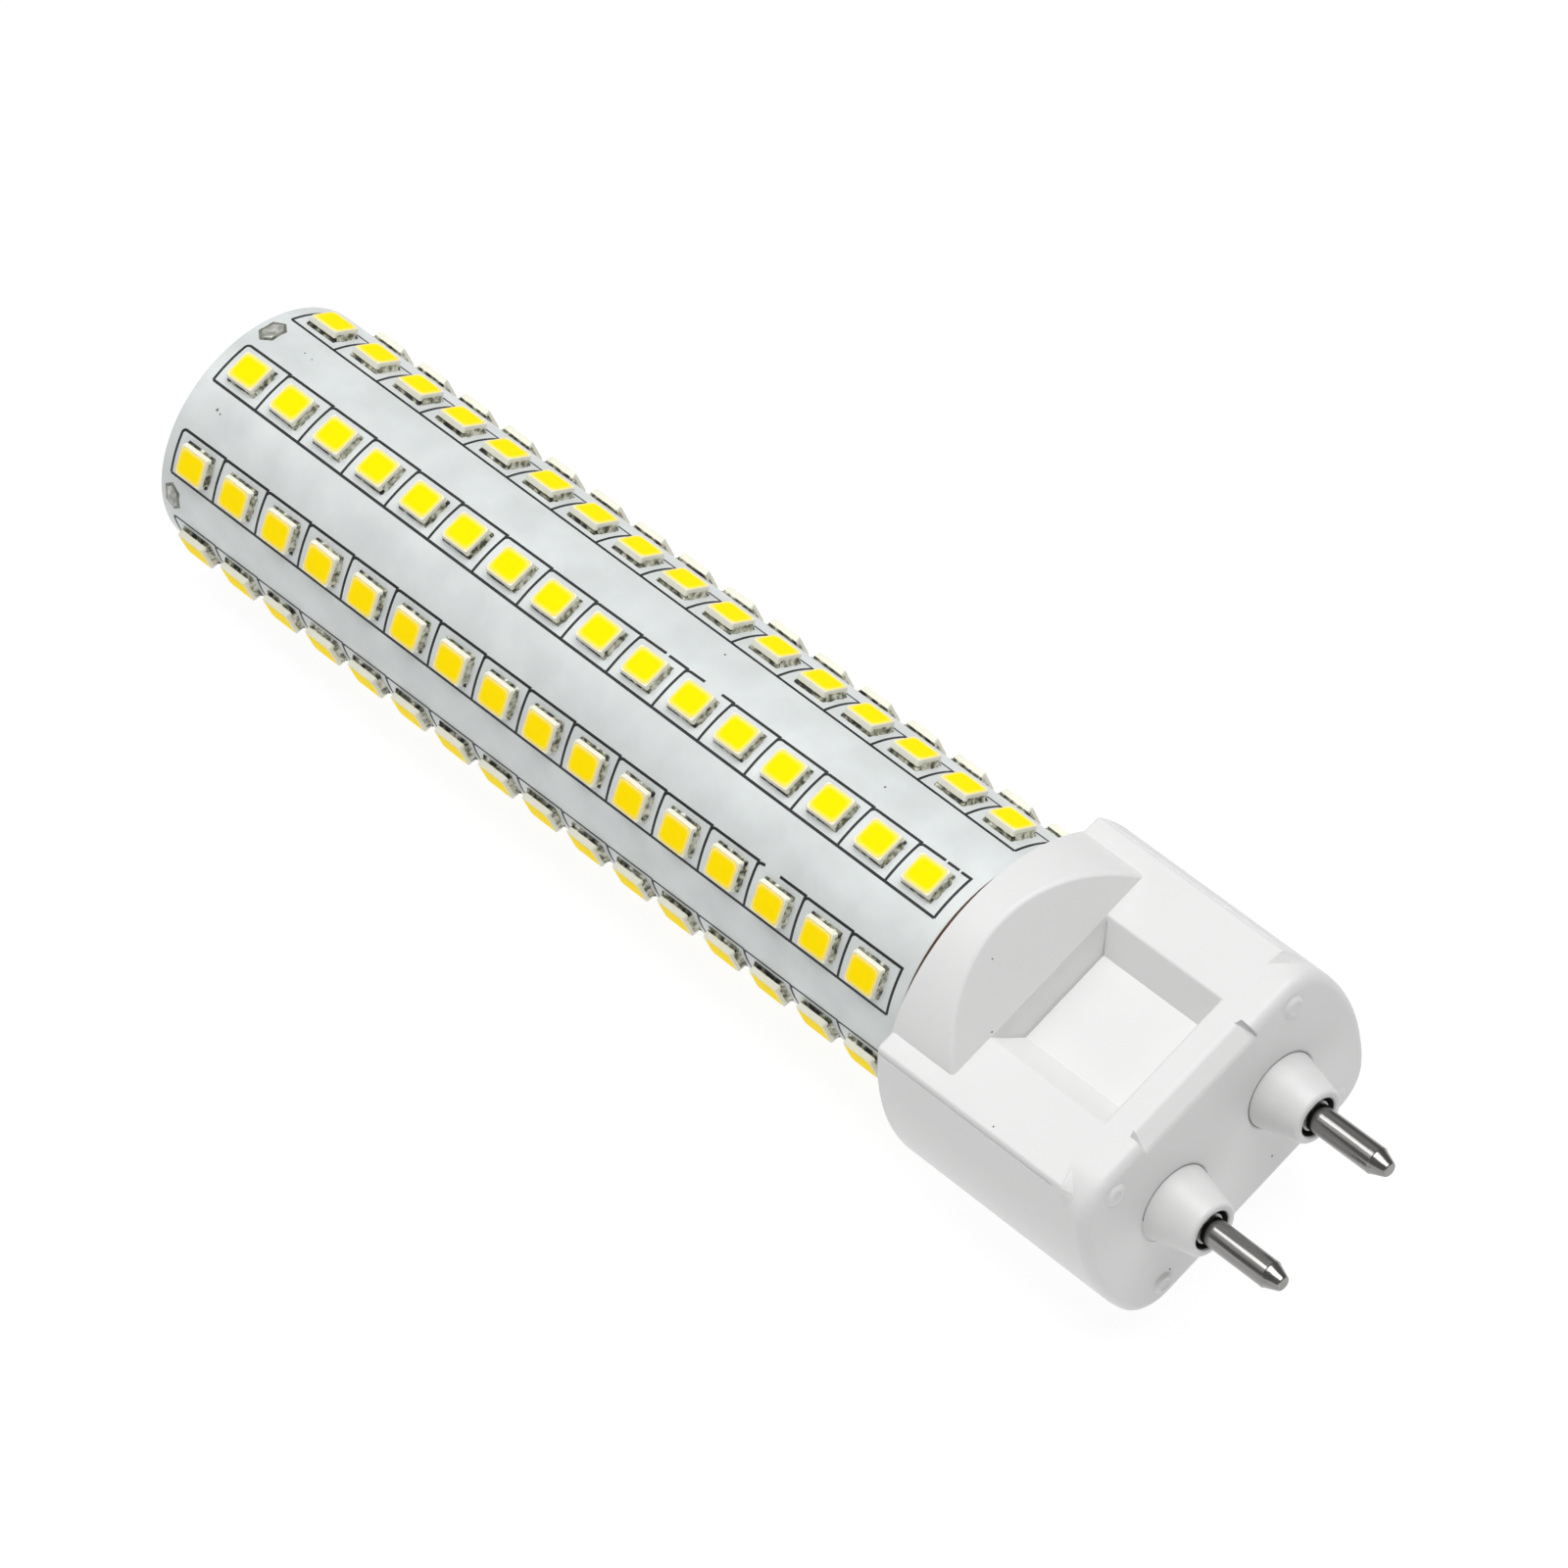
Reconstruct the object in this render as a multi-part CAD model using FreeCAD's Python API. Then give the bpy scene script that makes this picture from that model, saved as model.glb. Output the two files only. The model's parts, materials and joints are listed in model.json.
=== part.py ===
# Corn LED lamp with a two-pin G12 base, lying on two of its LED rows.
#
# Each piece is built in the lamp's own axes: z runs along the lamp from the front of the pin bosses
# (z = 0) to the far end, x runs through both pins, and y is normal to the flats of the base.
# At the end one placement lays the whole lamp on the floor as it comes to rest.
import FreeCAD
import Part
import math
import os

os.makedirs("parts", exist_ok=True)

# Driving dimensions in millimetres and degrees.

# Contact pins
pin_spacing = 12.0
pin_d = 2.35
pin_reach = 7.5
pin_tip_len = 1.3
pin_tip_d = 1.3
pin_shank_d = 2.8
pin_shank_sunk = 0.35
pin_head_d = 3.6
pin_head_len = 1.0
pin_tail_d = 1.4
pin_tail_len = 4.0
pin_fit = 0.02

# Pin bosses of the base, and the well round each pin
boss_len = 4.15
boss_root_d = 6.8
boss_front_d = 4.9
boss_rim = 0.25
well_d = 3.5
well_depth = 3.0

# Outside of the base
base_len = 22.85
base_width = 29.6
flat_gap = 19.0
flat_width = 25.0
end_block_len = 2.75
end_corner_r = 2.8
end_edge = 0.4
notch_width = 11.3
notch_len = 1.25
notch_depth = 1.0

# Spring recess in each flat, and the collar behind it
bar_len = 3.85
recess_width = 13.2
recess_depth = 2.2
recess_side_run = 2.2
recess_wall_from_end = 16.15
collar_d = 28.8
collar_lean = 27.5
collar_edge = 0.8

# Inside of the base
end_wall = 2.35
cavity_width = 17.6
cavity_height = 10.4
socket_depth = 5.0

# Tube with the rolled board
tube_d = 21.6
tube_wall = 1.0
tube_clear = 0.1
board_thick = 0.5
board_glue = 0.05
board_seam = 0.3
board_start_gap = 2.1
board_margin = 3.9
disc_thick = 1.0
pad_width = 2.2
pad_len = 1.5
pad_thick = 0.15
pad_edge = 0.7
pad_count = 4

# LED rows
row_count = 8
leds_per_row = 16
led_pitch = 5.357
led_len = 3.2
led_width = 2.8
led_height = 0.75
led_draft = 0.05
led_film = 0.06
phosphor_len = 2.85
phosphor_width = 2.4
phosphor_height = 0.05
phosphor_draft = 0.02

# Driver inside the base and the tube
driver_len = 56.0
driver_thick = 1.0
driver_clear = 0.1
driver_tube_gap = 0.3
driver_start = 1.2
part_film = 0.05
joint_d = 3.0
joint_len = 2.4
fuse_d = 2.6
fuse_len = 7.0
fuse_from_front = 12.0
fuse_x = 5.0
bridge_len = 4.7
bridge_width = 3.9
bridge_height = 1.5
bridge_from_front = 10.0
film_len = 7.5
film_width = 4.5
film_height = 4.0
film_from_front = 12.0
film_x = 4.0
core_len = 8.4
core_height = 7.0
core_thick = 3.6
core_yoke = 1.3
core_leg = 1.8
winding_gap = 0.1
winding_width = 6.8
core_from_front = 26.0
chip_len = 4.9
chip_width = 3.9
chip_height = 1.5
chip_from_front = 24.0
cap_d = 8.0
cap_len = 13.0
cap_from_front = 38.0
wire_d = 1.2
wire_spacing = 7.0
wire_lap = 3.0

# Places that follow from the dimensions
end_face_z = boss_len
rear_z = end_face_z + base_len
flat_y = flat_gap / 2
recess_wall_z = end_face_z + recess_wall_from_end
lean_slope = math.tan(math.radians(collar_lean))
cavity_z = end_face_z + end_wall
socket_z = rear_z - socket_depth
tube_r = tube_d / 2
board_r = tube_r + board_thick
board_z = rear_z + board_start_gap
first_led_z = board_z + board_margin
last_led_z = first_led_z + led_pitch * (leds_per_row - 1)
far_z = last_led_z + board_margin
led_seat_r = board_r + led_film
led_top_r = led_seat_r + led_height
row_step = 360.0 / row_count
driver_width = tube_d - 2 * tube_wall - 2 * driver_tube_gap
driver_z = cavity_z + driver_start
driver_face = driver_thick / 2
tail_z = cavity_z + pin_head_len + pin_tail_len
pin_places = (-pin_spacing / 2, pin_spacing / 2)

Y_AXIS = FreeCAD.Vector(0, 1, 0)
Z_AXIS = FreeCAD.Vector(0, 0, 1)
ORIGIN = FreeCAD.Vector(0, 0, 0)


def vec(x, y, z):
    return FreeCAD.Vector(x, y, z)


def block(x, y, z):
    """Box between the low and high values of each axis, given as pairs."""
    return Part.makeBox(x[1] - x[0], y[1] - y[0], z[1] - z[0], vec(x[0], y[0], z[0]))


def rod(d, z0, z1, x=0.0, y=0.0):
    return Part.makeCylinder(d / 2, z1 - z0, vec(x, y, z0), Z_AXIS)


def prism_along_x(outline, width):
    """Prism with an outline of (y, z) points, centred on the yz plane."""
    points = [vec(-width / 2, y, z) for y, z in outline]
    face = Part.Face(Part.makePolygon(points + points[:1]))
    return face.extrude(vec(width, 0, 0))


def prism_along_z(outline, z0, z1):
    """Prism with an outline of (x, y) points."""
    points = [vec(x, y, z0) for x, y in outline]
    face = Part.Face(Part.makePolygon(points + points[:1]))
    return face.extrude(vec(0, 0, z1 - z0))


def tapered_block(width, length, height, inset):
    """Block that stands on y = 0, drawn in at its top by the inset on every side, or flared if below 0."""
    x, z = width / 2, length / 2
    return Part.makeWedge(-x, 0, -z, -z + inset, -x + inset, x, height, z, z - inset, x - inset)


def both_flats(solid):
    """The solid on the -y flat and its copy on the +y flat."""
    return [solid, solid.rotated(ORIGIN, Z_AXIS, 180)]


def upright_edges(solid):
    return [e for e in solid.Edges if abs(e.tangentAt(e.FirstParameter).z) > 0.999 and e.Length > 0.5]


# Base: a moulded body with side arcs between two flats, a rounded end block with two notches,
# a spring recess in each flat, a leaning collar and two conical bosses.

def body_section(z):
    """Two flats joined by two side arcs."""
    x = flat_width / 2
    side = base_width / 2
    low, high = vec(-x, -flat_y, z), vec(x, -flat_y, z)
    high_up, low_up = vec(x, flat_y, z), vec(-x, flat_y, z)
    edges = [
        Part.LineSegment(low, high).toShape(),
        Part.Arc(high, vec(side, 0, z), high_up).toShape(),
        Part.LineSegment(high_up, low_up).toShape(),
        Part.Arc(low_up, vec(-side, 0, z), low).toShape(),
    ]
    return Part.Face(Part.Wire(edges))


def end_block():
    solid = body_section(end_face_z).extrude(vec(0, 0, end_block_len))
    solid = solid.makeFillet(end_corner_r, upright_edges(solid))
    rim = [e for e in solid.Edges if e.BoundBox.ZMax < end_face_z + 0.01]
    return solid.makeChamfer(end_edge, rim)


def wall_z(y):
    """Where the leaning wall between recess and collar stands at a distance y from the axis."""
    return recess_wall_z + (y - flat_y) * lean_slope


def collar_half():
    """The collar above the -y flat, cut by the leaning wall, with its front edge broken."""
    r = collar_d / 2
    inner = flat_y - recess_depth - 2 * collar_edge
    outer = r + 1
    cutter = prism_along_x(
        [(-inner, wall_z(inner)), (-outer, wall_z(outer)), (-outer, rear_z), (-inner, rear_z)],
        collar_d + 2)
    solid = rod(collar_d, end_face_z, rear_z).common(cutter)
    front = [e for e in solid.Edges
             if not isinstance(e.Curve, Part.Line) and e.BoundBox.ZMax < rear_z - 0.01]
    return solid.makeChamfer(collar_edge, front)


def recess_cutter():
    """Trapezoid trough in the -y flat that ends at the leaning wall."""
    top = recess_width / 2
    floor = top - recess_side_run
    above = 1.0
    reach = top + above * recess_side_run / recess_depth
    y_floor = flat_y - recess_depth
    y_above = flat_y + above
    start = end_face_z + bar_len
    trough = prism_along_z(
        [(-reach, -y_above), (reach, -y_above), (floor, -y_floor), (-floor, -y_floor)], start, rear_z)
    span = prism_along_x(
        [(-y_above, start), (-y_above, wall_z(y_above)), (-y_floor, wall_z(y_floor)), (-y_floor, start)],
        base_width)
    return trough.common(span)


def notch_cutter():
    return prism_along_x(
        [(-flat_y - notch_depth, end_face_z), (-flat_y + notch_depth, end_face_z),
         (-flat_y, end_face_z + notch_len), (-flat_y - notch_depth, end_face_z + notch_len)],
        notch_width)


def pin_boss(x):
    solid = Part.makeCone(boss_front_d / 2, boss_root_d / 2, boss_len, vec(x, 0, 0), Z_AXIS)
    rim = [e for e in solid.Edges if e.BoundBox.ZMax < 0.01 and not isinstance(e.Curve, Part.Line)]
    return solid.makeChamfer(boss_rim, rim)


def cavity():
    x, y = cavity_width / 2, cavity_height / 2
    room = block((-x, x), (-y, y), (cavity_z, rear_z))
    groove_x = driver_width / 2 + driver_clear
    groove_y = driver_face + driver_clear
    groove = block((-groove_x, groove_x), (-groove_y, groove_y), (driver_z, rear_z))
    socket = rod(tube_d + 2 * tube_clear, socket_z, rear_z)
    return room.fuse([groove, socket])


def base_housing():
    rails = body_section(end_face_z + end_block_len).extrude(vec(0, 0, base_len - end_block_len))
    bosses = [pin_boss(x) for x in pin_places]
    solid = end_block().fuse([rails] + both_flats(collar_half()))
    solid = solid.cut(both_flats(recess_cutter()) + both_flats(notch_cutter()))
    solid = solid.fuse(bosses)
    wells = [rod(well_d, -1, well_depth, x) for x in pin_places]
    seats = [rod(pin_shank_d + 2 * pin_fit, 0, cavity_z + 1, x) for x in pin_places]
    return solid.cut(wells + seats + [cavity()]).removeSplitter()


def contact_pin(x):
    """Turned pin: tapered tip, contact length, thicker shank in the boss, head behind the end wall and tail."""
    head_z = cavity_z + pin_head_len
    tip_end = -pin_reach + pin_tip_len
    outline = [
        (0, -pin_reach), (pin_tip_d / 2, -pin_reach), (pin_d / 2, tip_end), (pin_d / 2, pin_shank_sunk),
        (pin_shank_d / 2, pin_shank_sunk), (pin_shank_d / 2, cavity_z), (pin_head_d / 2, cavity_z),
        (pin_head_d / 2, head_z), (pin_tail_d / 2, head_z), (pin_tail_d / 2, tail_z), (0, tail_z)]
    points = [vec(r, 0, z) for r, z in outline]
    face = Part.Face(Part.makePolygon(points + points[:1]))
    return face.revolve(ORIGIN, Z_AXIS, 360).translated(vec(x, 0, 0))


# Tube, rolled board, end disc and pads

def support_tube():
    return rod(tube_d, socket_z, far_z - disc_thick).cut(rod(tube_d - 2 * tube_wall, socket_z, far_z))


def led_board():
    """Printed board rolled round the tube, with a narrow butt seam on the underside."""
    ring = rod(2 * board_r, board_z, far_z).cut(rod(tube_d + 2 * board_glue, board_z, far_z))
    seam = block((tube_r - 1, board_r + 1), (-board_seam / 2, board_seam / 2), (board_z, far_z))
    return ring.cut(seam.rotated(ORIGIN, Z_AXIS, 90 - row_step / 2))


def end_disc():
    return rod(tube_d, far_z - disc_thick, far_z)


def end_pads():
    """Tinned pads on the board's far edge, midway between rows."""
    shell = rod(2 * (board_r + pad_thick), far_z - pad_edge - pad_len, far_z - pad_edge)
    shell = shell.cut(rod(2 * board_r, far_z - pad_edge - pad_len, far_z))
    patch = block((0, 2 * board_r), (-pad_width / 2, pad_width / 2), (far_z - 2 * pad_len, far_z))
    pads = []
    for k in range(pad_count):
        turned = patch.rotated(ORIGIN, Z_AXIS, row_step / 2 + k * 360.0 / pad_count)
        pads.append(shell.common(turned))
    return Part.makeCompound([p.Solids[0] for p in pads])


# LEDs, built at the row on the +y side: x across the row, y outward, z along the lamp.

def led_body():
    return tapered_block(led_width, led_len, led_height, led_draft)


def led_phosphor():
    """Phosphor window on top of the package, standing a little proud of its white rim."""
    window = tapered_block(phosphor_width, phosphor_len, phosphor_height, phosphor_draft)
    return window.translated(vec(0, led_height, 0))


def led_row(solid, row):
    """Copies of one LED's solid at every place of a row."""
    seats = [vec(0, led_seat_r, first_led_z + k * led_pitch) for k in range(leds_per_row)]
    return Part.makeCompound([solid.translated(s).rotated(ORIGIN, Z_AXIS, row * row_step) for s in seats])


# Driver: a board in the grooves of the base, reaching into the tube, with its parts on both faces.

def driver_board():
    """Board with two notches in its front edge for the tails of the pins."""
    x = driver_width / 2
    board = block((-x, x), (-driver_face, driver_face), (driver_z, driver_z + driver_len))
    notch = pin_tail_d / 2 + driver_clear
    notches = [block((pin - notch, pin + notch), (-driver_thick, driver_thick), (0, tail_z + driver_clear))
               for pin in pin_places]
    return board.cut(notches)


def pin_solder():
    """Solder on both faces of the board, round the tail of each pin."""
    joints = []
    for x in pin_places:
        blob = rod(joint_d, tail_z - joint_len, tail_z, x)
        tail = rod(pin_tail_d, cavity_z, tail_z + 1, x)
        slab = block((-driver_width, driver_width), (-driver_face, driver_face), (0, far_z))
        joints += blob.cut([tail, slab]).Solids
    return Part.makeCompound(joints)


def on_board(length, width, height, from_front, x, side):
    """A block that lies on one face of the board: side +1 is the +y face, -1 the -y face."""
    z = driver_z + from_front
    solid = block((x - width / 2, x + width / 2), (driver_face, driver_face + height), (z, z + length))
    return solid if side > 0 else solid.mirror(ORIGIN, Y_AXIS)


def fuse_resistor():
    z = driver_z + fuse_from_front
    return rod(fuse_d, z, z + fuse_len, -fuse_x, driver_face + fuse_d / 2 + part_film)


def choke_block(thick, z_half, y):
    """Block of the choke, centred on its middle leg, between two heights over the +y face of the board."""
    z = driver_z + core_from_front + core_len / 2
    heights = (driver_face + y[0], driver_face + y[1])
    return block((-thick / 2, thick / 2), heights, (z - z_half, z + z_half))


def choke_window():
    """Height range of the two windows of the core."""
    return core_yoke, core_height - core_yoke


def choke_core():
    """Pair of E cores: two yokes, two outer legs and a middle leg round two windows."""
    outside = choke_block(core_thick, core_len / 2, (0, core_height))
    opening = choke_block(core_thick, core_len / 2 - core_leg, choke_window())
    leg = choke_block(core_thick, core_leg / 2, choke_window())
    return outside.cut(opening).fuse(leg).removeSplitter()


def choke_winding():
    """Winding on the middle leg, filling both windows."""
    coil = choke_block(winding_width, core_len / 2 - core_leg - winding_gap, choke_window())
    return coil.cut(choke_block(core_thick, core_leg / 2, choke_window()))


def bulk_capacitor():
    """Can that lies along the board."""
    z = driver_z + cap_from_front
    return rod(cap_d, z, z + cap_len, 0, driver_face + cap_d / 2 + part_film)


def feed_wire(x):
    """Wire that is soldered flat on the back of the board and runs straight to the end disc."""
    z = driver_z + driver_len - wire_lap
    return rod(wire_d, z, far_z - disc_thick, x, driver_face + wire_d / 2 + part_film)


nodes = {
    "base_housing": base_housing(),
    "support_tube": support_tube(),
    "led_board": led_board(),
    "end_disc": end_disc(),
    "end_pads": end_pads(),
    "driver_board": driver_board(),
    "pin_solder": pin_solder(),
    "fuse_resistor": fuse_resistor(),
    "bridge_rectifier": on_board(bridge_len, bridge_width, bridge_height, bridge_from_front, 0, -1),
    "input_capacitor": on_board(film_len, film_width, film_height, film_from_front, film_x, 1),
    "driver_chip": on_board(chip_len, chip_width, chip_height, chip_from_front, 0, -1),
    "choke_core": choke_core(),
    "choke_winding": choke_winding(),
    "bulk_capacitor": bulk_capacitor(),
    "feed_wire_plus": feed_wire(wire_spacing / 2),
    "feed_wire_minus": feed_wire(-wire_spacing / 2),
}
for number, place in enumerate(pin_places, start=1):
    nodes[f"contact_pin_{number}"] = contact_pin(place)
for row in range(row_count):
    nodes[f"row_{row + 1}_led_bodies"] = led_row(led_body(), row)
    nodes[f"row_{row + 1}_phosphor"] = led_row(led_phosphor(), row)

# Rest on the floor: two LED rows turned down, the collar's rear edge and the far LEDs touching.
half_step = math.radians(row_step / 2)
led_depth = led_top_r * math.cos(half_step) + (led_width / 2 - led_draft) * math.sin(half_step)
led_end_z = last_led_z + led_len / 2 - led_draft
rest_tilt = math.degrees(math.atan2(collar_d / 2 - led_depth, led_end_z - rear_z))
up_angle = 270 + row_step / 2
turn = FreeCAD.Rotation(Y_AXIS, -90 - rest_tilt).multiply(FreeCAD.Rotation(Z_AXIS, -up_angle))
laid = FreeCAD.Placement(ORIGIN, turn)
outside = Part.makeCompound([nodes[n] for n in nodes if not n.startswith("row_") or n.endswith("bodies")])
room = outside.transformed(laid.Matrix).optimalBoundingBox(False, False)
laid.Base = vec(-room.Center.x, -room.Center.y, -room.ZMin)

for name, solid in nodes.items():
    solid.transformed(laid.Matrix).exportStep(f"parts/{name}.step")
print(f"rest tilt {rest_tilt:.3f} degrees, box {room.XLength:.3f} x {room.YLength:.3f} x {room.ZLength:.3f} mm")
for place in pin_places:
    inner = laid.multVec(vec(place, 0, pin_shank_sunk))
    outer = laid.multVec(vec(place, 0, -pin_reach + pin_tip_len))
    print(f"contact length of a pin: middle {(inner + outer) / 2}, outward {(outer - inner).normalize()}")
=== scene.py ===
import json
import math
import random

import bmesh
import bpy
from mathutils import Matrix, Vector


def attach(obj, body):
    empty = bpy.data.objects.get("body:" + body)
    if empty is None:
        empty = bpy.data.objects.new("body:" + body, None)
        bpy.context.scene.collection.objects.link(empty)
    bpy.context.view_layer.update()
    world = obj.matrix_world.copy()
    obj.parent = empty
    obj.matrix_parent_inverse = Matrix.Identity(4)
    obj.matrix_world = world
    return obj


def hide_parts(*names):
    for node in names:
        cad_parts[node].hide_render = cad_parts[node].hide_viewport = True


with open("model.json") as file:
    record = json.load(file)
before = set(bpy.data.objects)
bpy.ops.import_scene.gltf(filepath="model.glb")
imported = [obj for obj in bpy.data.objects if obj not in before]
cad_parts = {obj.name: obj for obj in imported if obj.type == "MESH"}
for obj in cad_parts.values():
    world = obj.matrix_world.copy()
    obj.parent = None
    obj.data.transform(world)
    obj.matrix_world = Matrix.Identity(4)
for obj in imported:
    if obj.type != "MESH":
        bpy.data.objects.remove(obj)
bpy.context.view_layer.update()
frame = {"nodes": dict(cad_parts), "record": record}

# Lamp axes, in millimetres: x runs through both contact pins, z runs from the front of the pin bosses
# to the far end, and y is normal to the flats of the base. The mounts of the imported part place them:
# each is in the middle of a pin's contact length, this far in front of the bosses.
contact_middle = 2.925
pin_1, pin_2 = [mount for mount in frame["record"]["mounts"] if mount["kind"] == "pin"]
along = -Vector(pin_1["axis"]).normalized()
through_pins = Vector(pin_2["pos_m"]) - Vector(pin_1["pos_m"])
across = (through_pins - through_pins.project(along)).normalized()
between_pins = (Vector(pin_1["pos_m"]) + Vector(pin_2["pos_m"])) / 2
lamp = Matrix((across, along.cross(across), along)).transposed().to_4x4()
lamp.translation = between_pins + along * contact_middle * 0.001
lamp = lamp @ Matrix.Scale(0.001, 4)

# Base: one white injection moulding with a flat and a spring recess on two sides, a leaning collar
# behind each recess and a conical boss round each pin. Every edge of the mould is slightly rounded.
end_face_z, rear_z = 4.15, 27.0
flat_x, flat_y = 12.5, 9.5
half_width = 14.79
end_corner_r, rail_corner_r = 4.0, 0.3
end_rim_round, rear_round = 1.0, 0.25
corner_steps, fine_steps, side_steps, circle_steps = 10, 4, 20, 128
step_start_z, step_lean, step_ramp, ramp_points = 8.1, 0.47, 0.95, 5
recess_top_x, recess_floor_x, recess_floor_y = 6.6, 4.4, 7.3
recess_start_z = 8.0
trough_round, trough_end_round = 0.4, 0.3
wall_foot_z = 20.3
wall_slope = math.tan(math.radians(36.0))
recess_end_slope = math.tan(math.radians(20.0))
collar_r, collar_round = 14.38, 1.25
collar_blank_z, collar_root_y = 12.0, recess_floor_y - 1.5
notch_x, notch_len, notch_depth, notch_round = 5.65, 1.46, 1.24, 0.35
notch_end_slope = 0.45
cutter_rise, cutter_reach = 1.0, 0.6
crease_top_x, crease_foot_x = 6.3, recess_floor_x + 0.08
crease_top_y, crease_foot_y = flat_y - 0.4, recess_floor_y - 0.22
crease_front, crease_back = -0.19, 0.03
cavity_x, cavity_y, cavity_z, cavity_len = 8.8, 5.2, 6.5, 25.0
socket_r, socket_z, socket_len = 10.9, 22.0, 8.0
pin_x = 6.0
pin_seat_r, pin_seat_z, pin_hole_r = 1.42, 6.45, 2.2
pin_hole_steps, boss_steps = 61, 72  # so that no corner of a hole falls on an edge of its boss
well_r, well_z, well_round = 1.75, 3.0, 0.2
nose_r, nose_round = 2.10, 0.36
mark_r, mark_height, mark_root = 1.0, 0.27, 0.25
mark_x, mark_y = 9.95, 7.3
seam_r, seam_start_z, seam_end_z = 0.25, 7.6, 27.5
seam_x, seam_y = 12.87, 9.06
base_sharp, same_plane = 32.0, 0.99999


def arc(centre, radius, start, end, steps):
    """Points of an arc, with its angles in radians."""
    turns = [start + (end - start) * k / steps for k in range(steps + 1)]
    return [(centre[0] + radius * math.cos(t), centre[1] + radius * math.sin(t)) for t in turns]


def circle(radius, steps):
    return arc((0, 0), radius, 0, 2 * math.pi, steps)[:-1]


def corner_arc(radius, side_x, side_r):
    """Centre of the arc that rounds a flat into the side, and the angle on the side where it ends."""
    low = flat_y - radius
    reach = math.sqrt((side_r - radius) ** 2 - low ** 2)
    return (side_x + reach, low), math.atan2(low, reach)


def side_outline(at_end):
    """Outline of the +x side from flat to flat, with the end's broad corners or the rails' fine ones."""
    side_r = ((half_width - flat_x) ** 2 + flat_y ** 2) / (2 * (half_width - flat_x))
    side_x = half_width - side_r
    broad, broad_lean = corner_arc(end_corner_r, side_x, side_r)
    fine, fine_lean = corner_arc(rail_corner_r, side_x, side_r)
    if at_end:
        corner = arc(broad, end_corner_r, math.pi / 2, broad_lean, corner_steps)
    else:
        corner = arc(fine, rail_corner_r, math.pi / 2, fine_lean, fine_steps)
        corner += arc((side_x, 0), side_r, fine_lean, broad_lean, corner_steps - fine_steps)[1:]
    half = corner + arc((side_x, 0), side_r, broad_lean, 0, side_steps)[1:]
    return half + [(x, -y) for x, y in reversed(half[:-1])]


def lofted(bm, loops):
    """Closed skin over loops of the same number of points. Gives its faces but the first loop's cap."""
    rings = [[bm.verts.new(p) for p in loop] for loop in loops]
    faces = []
    for ring, after in zip(rings, rings[1:]):
        for a, b, c, d in zip(ring, ring[1:] + ring[:1], after[1:] + after[:1], after):
            faces.append(bm.faces.new((a, b, c, d)))
    faces.append(bm.faces.new(rings[-1]))
    bm.faces.new(rings[0])
    return faces


def prism(outline, lift):
    """Closed prism on an outline of points, raised by the lift vector."""
    bm = bmesh.new()
    lofted(bm, [outline, [Vector(point) + Vector(lift) for point in outline]])
    bmesh.ops.recalc_face_normals(bm, faces=bm.faces)
    return bm


def rounded(bm, edges, radius, steps):
    bmesh.ops.bevel(bm, geom=edges, offset=radius, offset_type="OFFSET", segments=steps, profile=0.5,
                    affect="EDGES", clamp_overlap=True)
    return bm


def in_order(bm):
    """The same mesh with its points and faces in order of their places, which a bevel leaves to chance."""
    ordered = bmesh.new()
    places = sorted((tuple(vert.co) for vert in bm.verts), key=lambda place: place[::-1], reverse=True)
    points = [ordered.verts.new(place) for place in places]
    number = {place: k for k, place in enumerate(places)}
    loops = []
    for face in bm.faces:
        loop = [number[tuple(vert.co)] for vert in face.verts]
        first = loop.index(min(loop))
        loops.append(loop[first:] + loop[:first])
    for loop in sorted(loops):
        ordered.faces.new([points[k] for k in loop])
    bm.free()
    return ordered


def outer_body():
    """End block with broad corners that steps up, along a slant, to rails with fine ones."""
    at_end, at_rails = side_outline(True), side_outline(False)
    inner_x, outer_x = at_end[0][0], at_end[corner_steps][0]
    last = len(at_end) - 1
    stations = [[], [], [], []]
    for k, (low, high) in enumerate(zip(at_end, at_rails)):
        ramp = step_ramp * min(1.0, min(k, last - k) / ramp_points)
        foot = step_start_z - step_lean * (min(low[0], outer_x) - inner_x) - ramp
        top = step_start_z - step_lean * (min(high[0], outer_x) - inner_x)
        points = ((*low, end_face_z), (*low, foot), (*high, top), (*high, rear_z))
        for station, point in zip(stations, points):
            station.append(point)
    bm = bmesh.new()
    sides = []
    for turn_round in (1, -1):
        sides.append([[bm.verts.new((turn_round * x, turn_round * y, z)) for x, y, z in s] for s in stations])
    for rings in sides:
        for ring, after in zip(rings, rings[1:]):
            for a, b, c, d in zip(ring, ring[1:], after[1:], after):
                bm.faces.new((a, b, c, d))
    for one, other in (sides, sides[::-1]):
        bm.faces.new([ring[-1] for ring in one] + [ring[0] for ring in reversed(other)])
    for end in (0, -1):
        bm.faces.new(sides[0][end] + sides[1][end])
    bmesh.ops.recalc_face_normals(bm, faces=bm.faces)
    for z, radius, steps in ((end_face_z, end_rim_round, 6), (rear_z, rear_round, 3)):
        rounded(bm, [e for e in bm.edges if all(abs(v.co.z - z) < 0.001 for v in e.verts)], radius, steps)
    bmesh.ops.triangulate(bm, faces=[f for f in bm.faces if len(f.verts) == 4])
    return in_order(bm)


def wall_z(y, slope):
    """Place along the lamp, at a distance y from its axis, of a wall that leans from its foot on the flat."""
    return wall_foot_z + (y - flat_y) * slope


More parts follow.
